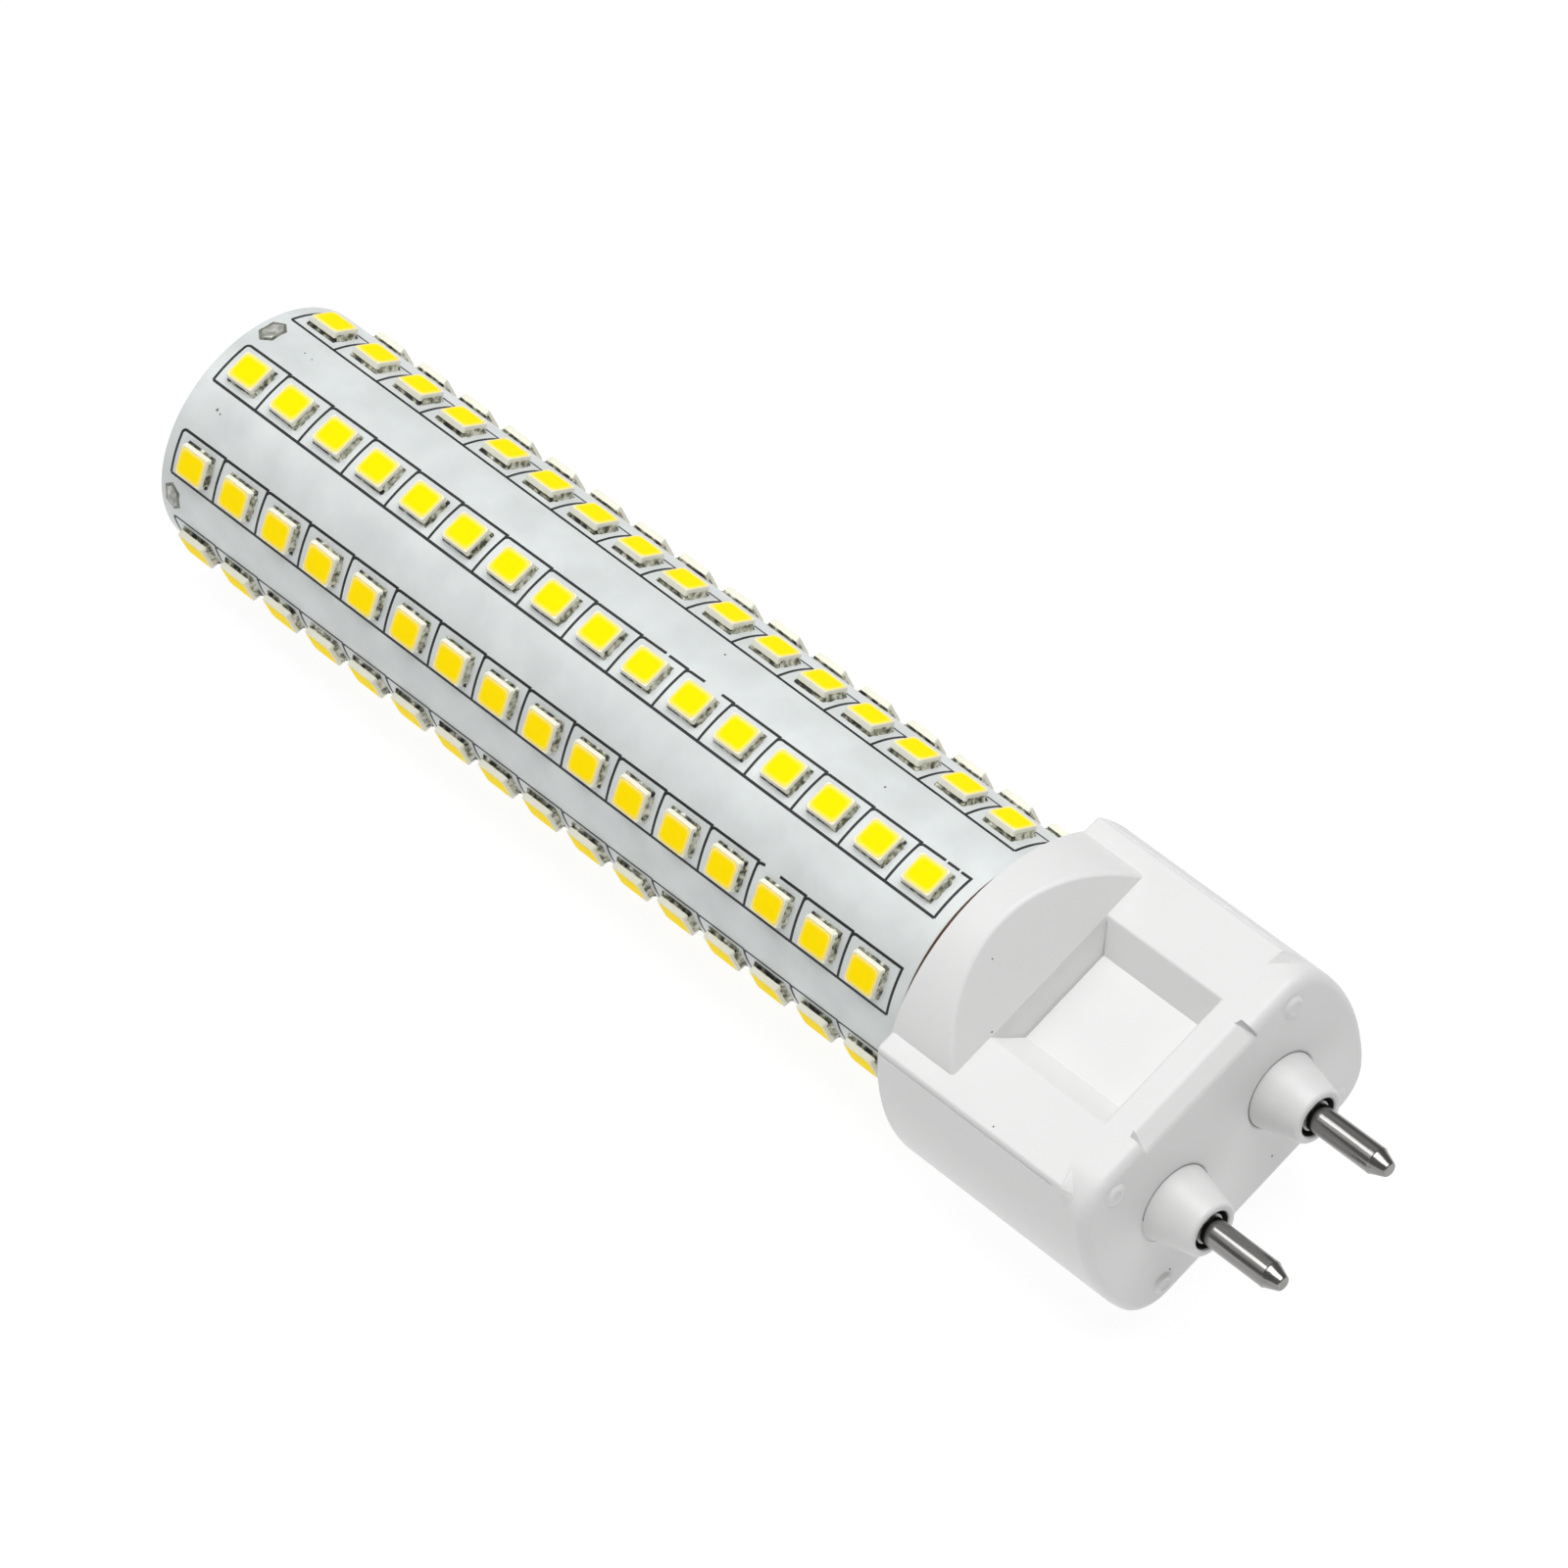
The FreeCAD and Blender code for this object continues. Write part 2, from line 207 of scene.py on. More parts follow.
def collar(side):
    """The collar over one flat: a slice of a disc, cut by the leaning wall, with its front edge rounded."""
    disc = [(x, y, collar_blank_z) for x, y in circle(collar_r, circle_steps)]
    bm = prism(disc, (0, 0, rear_z - collar_blank_z))
    wall = ((0, side * flat_y, wall_foot_z), Vector((0, -side * wall_slope, 1)).normalized())
    root = ((0, side * collar_root_y, 0), Vector((0, side, 0)))
    for point, normal in (wall, root):
        cut = bmesh.ops.bisect_plane(bm, geom=bm.verts[:] + bm.edges[:] + bm.faces[:], dist=1e-5,
                                     plane_co=point, plane_no=normal, clear_inner=True)
        bmesh.ops.holes_fill(bm, edges=[e for e in cut["geom_cut"] if isinstance(e, bmesh.types.BMEdge)])
    bmesh.ops.recalc_face_normals(bm, faces=bm.faces)
    front = [e for e in bm.edges
             if all(abs(v.co.z - wall_z(side * v.co.y, wall_slope)) < 1e-3 for v in e.verts)
             and all(abs(math.hypot(v.co.x, v.co.y) - collar_r) < 0.05 for v in e.verts)]
    return rounded(bm, front, collar_round, 8)


def trough(depth):
    """Half of the trough's section down to a depth: a side at 45 degrees with its upper edge rounded."""
    set_back = trough_round * math.tan(math.pi / 8)
    edge_drop = min(trough_round * (1 - math.cos(math.pi / 4)), depth / 2)
    half = [(recess_top_x + set_back, flat_y + cutter_rise)]
    for share in (0, 0.07, 0.26, 0.56, 1):
        turned_in = math.sqrt(trough_round ** 2 - (trough_round - share * edge_drop) ** 2)
        half.append((recess_top_x + set_back - turned_in, flat_y - share * edge_drop))
    straight = recess_top_x - depth
    if depth < 2 * trough_round * (1 - math.cos(math.pi / 4)):
        straight = recess_top_x + set_back - math.sqrt(trough_round ** 2 - (trough_round - depth) ** 2)
    return half + [(straight, flat_y - depth)]


def recess(side):
    """Trough with leaning sides in one flat, from a rounded edge near the end to the leaning wall."""
    full = flat_y - recess_floor_y
    stations = []
    for degrees in (8, 30, 50, 70, 90):
        t = math.radians(degrees)
        z = recess_start_z - trough_end_round * (1 - math.sin(t))
        stations.append((z, trough_end_round * (1 - math.cos(t))))
    stations.append((recess_start_z + 0.05, full))
    loops = []
    for z, depth in stations:
        half = trough(depth)
        loops.append([(x, side * y, z) for x, y in half + [(-x, y) for x, y in reversed(half)]])
    loops.append([(x, y, wall_z(side * y, recess_end_slope) - 0.01) for x, y, z in loops[-1]])
    bm = bmesh.new()
    lofted(bm, loops)
    bmesh.ops.triangulate(bm, faces=[f for f in bm.faces if len(f.verts) == 4])
    bmesh.ops.recalc_face_normals(bm, faces=bm.faces)
    return bm


def eased(before, corner, after, reach):
    """Points that round one corner of an outline, from a reach before it to a reach after it."""
    corner = Vector(corner)
    start = corner + (Vector(before) - corner).normalized() * reach
    end = corner + (Vector(after) - corner).normalized() * reach
    return [start.lerp(corner, t).lerp(corner.lerp(end, t), t) for t in (0, 0.25, 0.5, 0.75, 1)]


def notch(side):
    """Sloping notch in the middle of the front edge of one flat, with eased edges."""
    clear_y, clear_z = flat_y + cutter_rise, end_face_z - cutter_reach
    upper, lower = (flat_y, end_face_z + notch_len), (flat_y - notch_depth, end_face_z)
    behind, below = (upper[0], upper[1] + cutter_rise), (lower[0] - cutter_rise, lower[1])
    slope = eased(behind, upper, lower, notch_round) + eased(upper, lower, below, notch_round)
    outline = [(clear_y, clear_z), (clear_y, behind[1])] + slope + [(slope[-1][0], clear_z)]
    bm = prism([(-notch_x, side * y, z) for y, z in outline], (2 * notch_x, 0, 0))
    for vert in bm.verts:
        vert.co.x += math.copysign(notch_end_slope * (side * vert.co.y - flat_y), vert.co.x)
    return bm


def crease(side):
    """Fine groove round the foot of the wall in one recess, where an insert of the mould ends."""
    outline = [(-crease_top_x, crease_top_y), (crease_top_x, crease_top_y),
               (crease_foot_x, crease_foot_y), (-crease_foot_x, crease_foot_y)]
    bm = prism([(x, side * y, 0) for x, y in outline], (0, 0, 1))
    for vert in bm.verts:
        offset = crease_back if vert.co.z > 0.5 else crease_front
        vert.co.z = wall_z(side * vert.co.y, recess_end_slope) + offset
    return bm


def cavity():
    """Room for the driver, open at the rear where the tube goes in."""
    corners = [(-cavity_x, -cavity_y), (cavity_x, -cavity_y), (cavity_x, cavity_y), (-cavity_x, cavity_y)]
    return prism([(x, y, cavity_z) for x, y in corners], (0, 0, cavity_len))


def tube_socket():
    return prism([(x, y, socket_z) for x, y in circle(socket_r, circle_steps)], (0, 0, socket_len))


def loose(bm):
    """A scratch object for a boolean step."""
    mesh = bpy.data.meshes.new("scratch")
    bm.to_mesh(mesh)
    bm.free()
    holder = bpy.data.objects.new("scratch", mesh)
    bpy.context.scene.collection.objects.link(holder)
    return holder


def combined(first, steps):
    """One solid after exact booleans, each an operation and its tool."""
    holder = loose(first)
    tools = []
    for operation, bm in steps:
        tools.append(loose(bm))
        step = holder.modifiers.new(operation, "BOOLEAN")
        step.operation, step.solver, step.object = operation, "EXACT", tools[-1]
    result = bmesh.new()
    result.from_object(holder, bpy.context.evaluated_depsgraph_get())
    for scratch in tools + [holder]:
        bpy.data.meshes.remove(scratch.data)
    return result


def turned(profile, steps, x=0.0):
    """Closed shell from (radius, z) points turned round an axis parallel to the lamp's."""
    bm = bmesh.new()
    rings = {}
    for r, z in profile:
        if r == 0:
            rings[r, z] = [bm.verts.new((x, 0, z))] * steps
        elif (r, z) not in rings:
            rings[r, z] = [bm.verts.new((x + px, py, z)) for px, py in circle(r, steps)]
    for near, far in zip(profile, profile[1:]):
        ring, after = rings[near], rings[far]
        for corners in zip(ring, ring[1:] + ring[:1], after[1:] + after[:1], after):
            bm.faces.new(dict.fromkeys(corners))
    bmesh.ops.recalc_face_normals(bm, faces=bm.faces)
    return bm


def pin_boss(x):
    """Conical boss with a rounded nose, a well round the pin and the pin's seat behind it."""
    well = [(pin_seat_r, pin_seat_z), (pin_seat_r, well_z), (well_r, well_z)]
    rim = [(well_r + well_round - well_round * math.cos(t), well_round - well_round * math.sin(t))
           for t in (0, 0.5, 1.0, math.pi / 2)]
    nose = [(nose_r + nose_round * math.sin(t), nose_round - nose_round * math.cos(t))
            for t in (0, 0.35, 0.7, 1.05, 1.35)]
    root = [(3.36, 4.06), (3.39, 4.6), (2.4, 5.0), (2.4, pin_seat_z), (pin_seat_r, pin_seat_z)]
    return turned(well + rim + nose + root, boss_steps, x)


def mould_mark(x, y):
    """Low pip with a raised rim that an ejector pin of the mould leaves on the end face."""
    cap = [(0.0, 0.6), (0.35, 0.6), (0.5, 0.85), (0.62, 1.0), (0.74, 0.88), (0.88, 0.5), (1.0, 0.0)]
    dome = [(mark_r * r, end_face_z - mark_height * h) for r, h in cap]
    root = [(mark_r, end_face_z + mark_root), (0, end_face_z + mark_root)]
    bm = turned(dome + root, 40, x)
    bmesh.ops.translate(bm, vec=(0, y, 0), verts=bm.verts)
    return bm


def seam_groove(x, y):
    """Rod that cuts a fine groove in the side, just under an edge of a flat, where the mould parted."""
    tip = [(0, seam_start_z), (seam_r - 0.1, seam_start_z + 0.1), (seam_r, seam_start_z + 0.4)]
    bm = turned(tip + [(seam_r, seam_end_z), (0, seam_end_z)], 24, x)
    bmesh.ops.translate(bm, vec=(0, y, 0), verts=bm.verts)
    return bm


def base_housing():
    """The whole moulding; the inside of the wells gets the second finish, a near-black painted shade."""
    steps = [("UNION", collar(-1)), ("UNION", collar(1))]
    steps += [("DIFFERENCE", make(side)) for make in (recess, notch, crease) for side in (-1, 1)]
    steps += [("DIFFERENCE", cavity()), ("DIFFERENCE", tube_socket())]
    pin_hole = [(0, 3.9), (pin_hole_r, 3.9), (pin_hole_r, 7.1), (0, 7.1)]
    root_ring = [(3.42, 4.0), (3.63, 4.0), (3.55, 4.22), (3.46, 4.22), (3.42, 4.0)]
    for x in (-pin_x, pin_x):
        steps += [("DIFFERENCE", turned(pin_hole, pin_hole_steps, x)), ("UNION", pin_boss(x)),
                  ("DIFFERENCE", turned(root_ring, boss_steps, x))]
    steps += [("UNION", mould_mark(x, y)) for x in (-mark_x, mark_x) for y in (-mark_y, mark_y)]
    steps += [("DIFFERENCE", seam_groove(x, y)) for x in (-seam_x, seam_x) for y in (-seam_y, seam_y)]
    bm = combined(outer_body(), steps)
    bmesh.ops.remove_doubles(bm, verts=bm.verts, dist=1e-4)
    for face in bm.faces:
        middle = face.calc_center_median()
        out = math.hypot(abs(middle.x) - pin_x, middle.y)
        # Faces inside each well round a pin get the second finish: near-black painted shade for the shade
        # deep in the well.
        face.material_index = int(out < well_r + 0.05 and 0.3 < middle.z < 7.0)
    return bm


def finish(name, colour, roughness, drift=0.03, grain=400.0, bump=0.0, bump_grain=9000.0, stretch=None,
           **sockets):
    """Surface whose colour drifts by a share either way and, where bump is set, is slightly uneven."""
    material = bpy.data.materials.new(name)
    material.use_nodes = True
    nodes, links = material.node_tree.nodes, material.node_tree.links
    shader = nodes["Principled BSDF"]
    shader.inputs["Roughness"].default_value = roughness
    for socket_name, value in sockets.items():
        shader.inputs[socket_name.replace("_", " ")].default_value = value
    coords = nodes.new("ShaderNodeTexCoord")
    clouds = nodes.new("ShaderNodeTexNoise")
    clouds.inputs["Scale"].default_value = grain
    clouds.inputs["Detail"].default_value = 4.0
    place = coords.outputs["Object"]
    if stretch:
        drawn = nodes.new("ShaderNodeMapping")
        drawn.inputs["Scale"].default_value = stretch
        links.new(place, drawn.inputs["Vector"])
        place = drawn.outputs["Vector"]
    links.new(place, clouds.inputs["Vector"])
    tint = nodes.new("ShaderNodeMix")
    tint.data_type = "RGBA"
    tint.inputs["A"].default_value = [c * (1 - drift) for c in colour] + [1.0]
    tint.inputs["B"].default_value = [min(1.0, c * (1 + drift)) for c in colour] + [1.0]
    links.new(clouds.outputs["Fac"], tint.inputs["Factor"])
    links.new(tint.outputs["Result"], shader.inputs["Base Color"])
    if bump:
        pits = nodes.new("ShaderNodeTexNoise")
        pits.inputs["Scale"].default_value = bump_grain
        links.new(place, pits.inputs["Vector"])
        relief = nodes.new("ShaderNodeBump")
        relief.inputs["Strength"].default_value = bump
        relief.inputs["Distance"].default_value = 0.00005
        links.new(pits.outputs["Fac"], relief.inputs["Height"])
        links.new(relief.outputs["Normal"], shader.inputs["Normal"])
    return material


def fitted(name, bm, slot, finishes, *replaced, sharp=40.0):
    """The mesh, made in the lamp's axes, as a piece of the lamp."""
    bmesh.ops.transform(bm, matrix=lamp, verts=bm.verts)
    mesh = bpy.data.meshes.new(name)
    bm.to_mesh(mesh)
    bm.free()
    for material in finishes:
        mesh.materials.append(material)
    mesh.shade_smooth()
    mesh.set_sharp_from_angle(angle=math.radians(sharp))
    piece = bpy.data.objects.new(name, mesh)
    bpy.context.scene.collection.objects.link(piece)
    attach(piece, "root")
    if replaced:
        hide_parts(*replaced)
    return piece


def even_normals(piece, sharp):
    """Shades each broad flat of a piece evenly, right up to its rounded edges."""
    bm = bmesh.new()
    bm.from_mesh(piece.data)
    breadth = {}
    for seed in bm.faces:
        if seed.index in breadth:
            continue
        flat, reached = [seed], {seed.index}
        for face in flat:
            for near in (other for edge in face.edges for other in edge.link_faces):
                if near.index not in reached and near.normal.dot(seed.normal) > same_plane:
                    reached.add(near.index)
                    flat.append(near)
        area = sum(face.calc_area() for face in flat)
        breadth.update({face.index: area for face in flat if face.index not in breadth})
    smooth = math.cos(math.radians(sharp))
    normals = []
    for face in bm.faces:
        for corner in face.loops:
            around = [f for f in corner.vert.link_faces if f.normal.dot(face.normal) > smooth]
            lean = sum((f.normal * breadth[f.index] ** 2 for f in around), Vector())
            normals.append(lean.normalized() if lean.length > 0 else face.normal.copy())
    bm.free()
    piece.data.normals_split_custom_set(normals)


white_plastic = finish("moulded_white_plastic", (0.72, 0.72, 0.715), 0.42, drift=0.02, grain=90.0, bump=0.12)
# The wells' finish is painted shade: a near-black colour standing in for the shade in the deep wells.
well_painted_shade = finish("painted_shade_in_well", (0.05, 0.05, 0.05), 0.4, drift=0.3, grain=900.0, bump=0.1)
base = fitted("base_moulding", base_housing(), "base_plastic", [white_plastic, well_painted_shade], "base_housing",
              sharp=base_sharp)
even_normals(base, base_sharp)

# Contact pins: two turned brass pins, nickel-plated and polished, pressed into the bosses from behind.
# Each has a blunt tapered tip, a thicker shank in its boss, and a head and tail behind the end wall.
pin_r = 1.175
shank_r = 1.4
pin_profile = [
    (0, -7.5), (0.56, -7.5), (0.64, -7.44), (0.68, -7.36), (1.12, -6.2), (pin_r, -6.14),
    (pin_r, 0.35), (shank_r - 0.06, 0.35), (shank_r, 0.41), (shank_r, 6.5), (1.8, 6.5), (1.8, 7.5),
    (0.7, 7.5), (0.7, 11.5), (0, 11.5)]
nickel = finish("polished_nickel", (0.28, 0.276, 0.268), 0.2, drift=0.4, grain=1800.0, bump=0.3,
                bump_grain=4000.0, stretch=(0.02, 1.0, 1.0), Metallic=1.0)
for number, x in ((1, -pin_x), (2, pin_x)):
    fitted(f"pin_{number}", turned(pin_profile, 64, x), "nickel", [nickel], f"contact_pin_{number}", sharp=16)

# Support tube and end disc: a drawn aluminium tube pushed into the base, closed at the far end by a
# round white board, set a little back in the rolled board, on which both feed wires are soldered.
tube_r, tube_bore = 10.8, 9.8
tube_end_z, far_z = 116.2, 117.255
tube_profile = [(tube_bore, socket_z), (tube_r - 0.1, socket_z), (tube_r, socket_z + 0.1),
                (tube_r, tube_end_z), (tube_bore, tube_end_z), (tube_bore, socket_z)]
drawn_tube = finish("drawn_aluminium", (0.72, 0.73, 0.74), 0.38, drift=0.05, grain=300.0, bump=0.1,
                    Metallic=1.0)
fitted("carrier_tube", turned(tube_profile, 96), "tube_metal", [drawn_tube], "support_tube", sharp=30)

disc_back_z, disc_z = far_z - 1.0, far_z - 0.3
mask_white = finish("white_solder_mask", (0.652, 0.686, 0.683), 0.36, drift=0.18, grain=230.0, bump=0.06)
disc_profile = [(0, disc_back_z), (tube_r, disc_back_z), (tube_r, disc_z - 0.08), (tube_r - 0.08, disc_z),
                (0, disc_z)]
fitted("far_end_disc", turned(disc_profile, 96), "board_white", [mask_white], "end_disc", sharp=30)

# Rolled board: one thin white circuit board bent round the tube, with a butt seam on the underside.
# Its cut ends show the brown laminate.
board_r, board_bore = 11.3, 10.85
board_z = 29.1
board_lip, board_steps = 0.04, 240
butt_turn = math.radians(67.5)
butt_half = 0.15 / board_r


def rolled_board():
    """Section carried round from one lip of the seam to the other; cut ends get the second finish."""
    section = [(board_bore, board_z), (board_r - board_lip, board_z), (board_r, board_z + board_lip),
               (board_r, far_z - board_lip), (board_r - board_lip, far_z), (board_bore, far_z)]
    bm = bmesh.new()
    rings = []
    for k in range(board_steps + 1):
        t = butt_turn + butt_half + (2 * math.pi - 2 * butt_half) * k / board_steps
        rings.append([bm.verts.new((r * math.cos(t), r * math.sin(t), z)) for r, z in section])
    for ring, after in zip(rings, rings[1:]):
        for a, b, c, d in zip(ring, ring[1:] + ring[:1], after[1:] + after[:1], after):
            bm.faces.new((a, b, c, d))
    bm.faces.new(rings[0])
    bm.faces.new(rings[-1])
    bmesh.ops.recalc_face_normals(bm, faces=bm.faces)
    for face in bm.faces:
        face.material_index = int(abs(face.normal.z) > 0.9 or len(face.verts) > 4)
    return bm


cut_laminate = finish("cut_laminate", (0.17, 0.075, 0.032), 0.7, drift=0.35, grain=2500.0, bump=0.2)
fitted("rolled_board", rolled_board(), "board_white", [mask_white, cut_laminate], "led_board", sharp=30)

# Print: black screen-printed outlines round every LED place. Each row is a ladder of cells whose far
# upper corner is rounded, and the ink is broken in a few places.
row_count, row_angle = 8, 45
row_turns = [math.radians(90 + row_angle * k) for k in range(row_count)]
first_led_z, led_pitch, leds_per_row = 33.0, 5.357, 16
rung_offset = 0.15
ink_width, ink_height, ink_root = 0.245, 0.012, 0.02
ink_step, ink_mitre = 0.5, 0.5
bend_r, bend_step = 0.42, 0.05
ladder_low, ladder_high = 2.13, 2.1
ladder_ends = (30.3, 116.1)
ink_breaks = {
    4: [(58.6, 60.6), (64.75, 65.1), (32.85, 33.1), (31.35, 31.6)],
    3: [(44.1, 45.8)],
}


def inked(bm, path, row_turn):
    """Thin raised strip of ink that follows (arc, z) points on the rolled board."""
    dense = [path[0]]
    for a, b in zip(path, path[1:]):
        cuts = max(1, math.ceil(abs(b[0] - a[0]) / ink_step))
        for k in range(1, cuts + 1):
            dense.append((a[0] + (b[0] - a[0]) * k / cuts, a[1] + (b[1] - a[1]) * k / cuts))
    flow = [Vector(p) for p in dense]
    corners = []
    for k, point in enumerate(flow):
        before = (point - flow[k - 1]).normalized() if k else (flow[1] - point).normalized()
        after = (flow[k + 1] - point).normalized() if k + 1 < len(flow) else before
        middle = (before + after).normalized()
        aside = Vector((-middle.y, middle.x)) * ink_width / 2 / max(ink_mitre, middle.dot(after))
        corners.append([point + aside, point - aside])
    rings = []
    for left, right_side in corners:
        ring = []
        for point, r in ((left, board_r + ink_height), (right_side, board_r + ink_height),
                         (right_side, board_r - ink_root), (left, board_r - ink_root)):
            t = row_turn + point.x / board_r
            ring.append(bm.verts.new((r * math.cos(t), r * math.sin(t), point.y)))
        rings.append(ring)
    for ring, after in zip(rings, rings[1:]):
        for a, b, c, d in zip(ring, ring[1:] + ring[:1], after[1:] + after[:1], after):
            bm.faces.new((a, b, c, d))
    bm.faces.new(rings[0])
    bm.faces.new(rings[-1])


def unbroken(z0, z1, breaks):
    """Stretches of a line from z0 to z1 that the breaks leave."""
    stretches = [(z0, z1)]
    for low, high in breaks:
        halves = [half for a, b in stretches for half in ((a, min(b, low)), (max(a, high), b))]
        stretches = [half for half in halves if half[1] > half[0]]
    return stretches


def printed_ladder(row):
    """Two long lines with a rung between each LED and the next, and a bend in the corner of each cell."""
    bm = bmesh.new()
    turn_to_row = row_turns[row]
    rungs = [first_led_z + led_pitch * (k + 0.5) + rung_offset for k in range(leds_per_row - 1)]
    stops = [ladder_ends[0]] + rungs + [ladder_ends[1]]
    inked(bm, [(-ladder_low, stops[0]), (-ladder_low, stops[-1])], turn_to_row)
    for z in stops[:-1]:
        inked(bm, [(-ladder_low, z), (ladder_high + ink_width / 2, z)], turn_to_row)
    inked(bm, [(-ladder_low, stops[-1]), (ladder_high - bend_step - bend_r, stops[-1])], turn_to_row)
    for near, far in zip(stops, stops[1:]):
        bend = arc((ladder_high - bend_step - bend_r, far - bend_r), bend_r, math.pi / 2, 0, 6)
        for a, b in unbroken(near, far - bend_r, ink_breaks.get(row, [])):
            tail = bend if b == far - bend_r else [(ladder_high - bend_step / 2, b)]
            inked(bm, tail + [(ladder_high, a)], turn_to_row)
    bmesh.ops.recalc_face_normals(bm, faces=bm.faces)
    return bm


black_ink = finish("black_print", (0.012, 0.012, 0.014), 0.55, drift=0.4, grain=2500.0, bump=0.1)
for row in range(row_count):
    fitted(f"row_{row + 1}_print", printed_ladder(row), "print_black", [black_ink], sharp=30)

# End pads: four six-sided copper pads at the far edge of the board, tinned by hand, so that each
# carries a low cap of solder.
pad_middle_z = far_z - 0.7 - 0.75
pad_half_width, pad_half_len, pad_shoulder = 1.45, 0.88, 0.55
pad_count, pad_corners, first_pad_angle = 4, 6, -67.5
pad_steps = [(0, -0.06), (0, 0.02), (0.05, 0.03), (0.24, 0.03), (0.27, 0.07), (0.36, 0.11), (0.46, 0.13)]
pad_finishes = (0, 0, 0, 0, 1, 1, 1)


def pad_outline(inset, height):
    """Hexagon with its points across the board, at a height over it."""
    x, z = pad_half_width - inset, pad_half_len - inset
    points = [(x, 0), (x * pad_shoulder, z), (-x * pad_shoulder, z),
              (-x, 0), (-x * pad_shoulder, -z), (x * pad_shoulder, -z)]
    return [(px, math.sqrt(board_r ** 2 - px ** 2) + height, pad_middle_z + pz) for px, pz in points]


def end_pads():
    """A pad between each second pair of rows; the cap of solder gets the second finish."""
    bm = bmesh.new()
    for number in range(pad_count):
        start = len(bm.verts)
        skin = lofted(bm, [pad_outline(inset, height) for inset, height in pad_steps])
        for k, face in enumerate(skin):
            face.material_index = pad_finishes[k // pad_corners]
        bm.verts.ensure_lookup_table()
        spin = Matrix.Rotation(math.radians(first_pad_angle + 360 / pad_count * number), 3, "Z")
        bmesh.ops.rotate(bm, cent=(0, 0, 0), matrix=spin, verts=bm.verts[start:])
    bmesh.ops.recalc_face_normals(bm, faces=bm.faces)
    return bm


def speckled(name, stops, grain, roughness, metallic):
    """Tinned metal with dark flux and bright solder in patches, from (place, colour) stops of a noise."""
    material = finish(name, stops[0][1], roughness, bump=0.35, bump_grain=5000.0, Metallic=metallic)
    nodes, links = material.node_tree.nodes, material.node_tree.links
    clouds = nodes["Noise Texture"]
    clouds.inputs["Scale"].default_value = grain
    ramp = nodes.new("ShaderNodeValToRGB")
    for place, colour in stops[1:-1]:
        ramp.color_ramp.elements.new(place)
    for element, (place, colour) in zip(ramp.color_ramp.elements, stops):
        element.position = place
        element.color = (*colour, 1.0)
    nodes.remove(nodes["Mix"])
    links.new(clouds.outputs["Fac"], ramp.inputs["Fac"])
    links.new(ramp.outputs["Color"], nodes["Principled BSDF"].inputs["Base Color"])
    return material


flux_and_painted_shade, brown_flux = (0.012, 0.011, 0.008), (0.06, 0.056, 0.04)
dull_tin, olive_tin = (0.15, 0.15, 0.10), (0.30, 0.295, 0.21)
light_tin, bright_tin = (0.66, 0.65, 0.55), (0.78, 0.77, 0.68)
tin_tones = ((0.35, brown_flux), (0.40, dull_tin), (0.46, olive_tin), (0.62, light_tin))
tin = speckled("tinned_solder", tin_tones, 2000.0, 0.45, 0.15)
pad_tones = ((0.30, (0.07, 0.07, 0.055)), (0.45, (0.15, 0.155, 0.125)), (0.60, (0.20, 0.205, 0.17)),
             (0.75, (0.3, 0.3, 0.26)))
cap_tones = ((0.30, (0.20, 0.20, 0.17)), (0.45, (0.32, 0.325, 0.29)), (0.55, (0.45, 0.455, 0.42)),
             (0.70, (0.66, 0.66, 0.62)))
pad_tin = speckled("pad_tin", pad_tones, 1500.0, 0.45, 0.2)
pad_solder = speckled("pad_solder", cap_tones, 1300.0, 0.35, 0.2)
fitted("edge_pads", end_pads(), "solder", [pad_tin, pad_solder], "end_pads", sharp=60)

# Wire joints: two domes of solder on the end disc, over the ends of the feed wires from the driver.
# They are soldered by hand and bright like the caps on the pads.
joint_x, joint_y = 3.5, 1.15
joint_steps = [(1.3, -0.05), (1.28, 0.0), (1.1, 0.03), (0.8, 0.12), (0.5, 0.22), (0.25, 0.27)]


def wire_joints():
    bm = bmesh.new()
    for x in (-joint_x, joint_x):
        loops = []
        for spread, height in joint_steps:
            loops.append([(x + px, joint_y + py, disc_z + height) for px, py in circle(spread, 24)])
        lofted(bm, loops)
    bmesh.ops.recalc_face_normals(bm, faces=bm.faces)
    return bm


fitted("wire_joints", wire_joints(), "solder", [pad_solder], sharp=60)

# LEDs: white moulded packages with a yellow phosphor window, soldered by a tinned lead at each end.
# A pick-and-place machine sets them, so each lies a hair off its place.
led_seat_r, led_root = 11.36, 0.02
place_error, skew_error, first_row_seed = 0.04, 0.9, 40
loop_points, loop_corner_steps = 20, 4
package_steps = [
    (2.58, 2.98, 0.09, 0.1), (2.74, 3.14, 0.11, 0.12), (2.78, 3.18, 0.15, 0.12),
    (2.774, 3.174, 0.21, 0.125, 0.141), (2.73, 3.13, 0.66, 0.16, 0.3), (2.71, 3.11, 0.71, 0.18, 0.32),
    (2.66, 3.06, 0.745, 0.2, 0.34), (2.61, 3.01, 0.75, 0.46), (2.54, 2.96, 0.75, 0.5),
    (2.48, 2.90, 0.71, 0.5), (2.40, 2.82, 0.66, 0.48)]
# The lowest band of each package takes the lead frame's finish, so the body darkens towards the board: partly
# the lead frame, partly painted shade under the package's edge.
package_finishes = (1, 1, 1, 0, 0, 0, 0, 2, 2, 2, 2)
lead_frame_top, lead_frame_corner = 0.1, 0.12
lead_frame_steps = [(2.4, 2.9, lead_frame_top), (2.6, 3.2, 0.07), (2.8, 3.3, 0.0), (2.94, 3.4, None)]
window_steps = [
    (2.44, 2.86, 0.68, 0.49), (2.49, 2.91, 0.74, 0.5), (2.43, 2.85, 0.762, 0.49), (2.2, 2.7, 0.774, 0.47),
    (2.0, 2.5, 0.779, 0.44), (1.78, 2.26, 0.782, 0.4)]
window_finishes = (3, 3, 3, 2, 1, 0, 0)
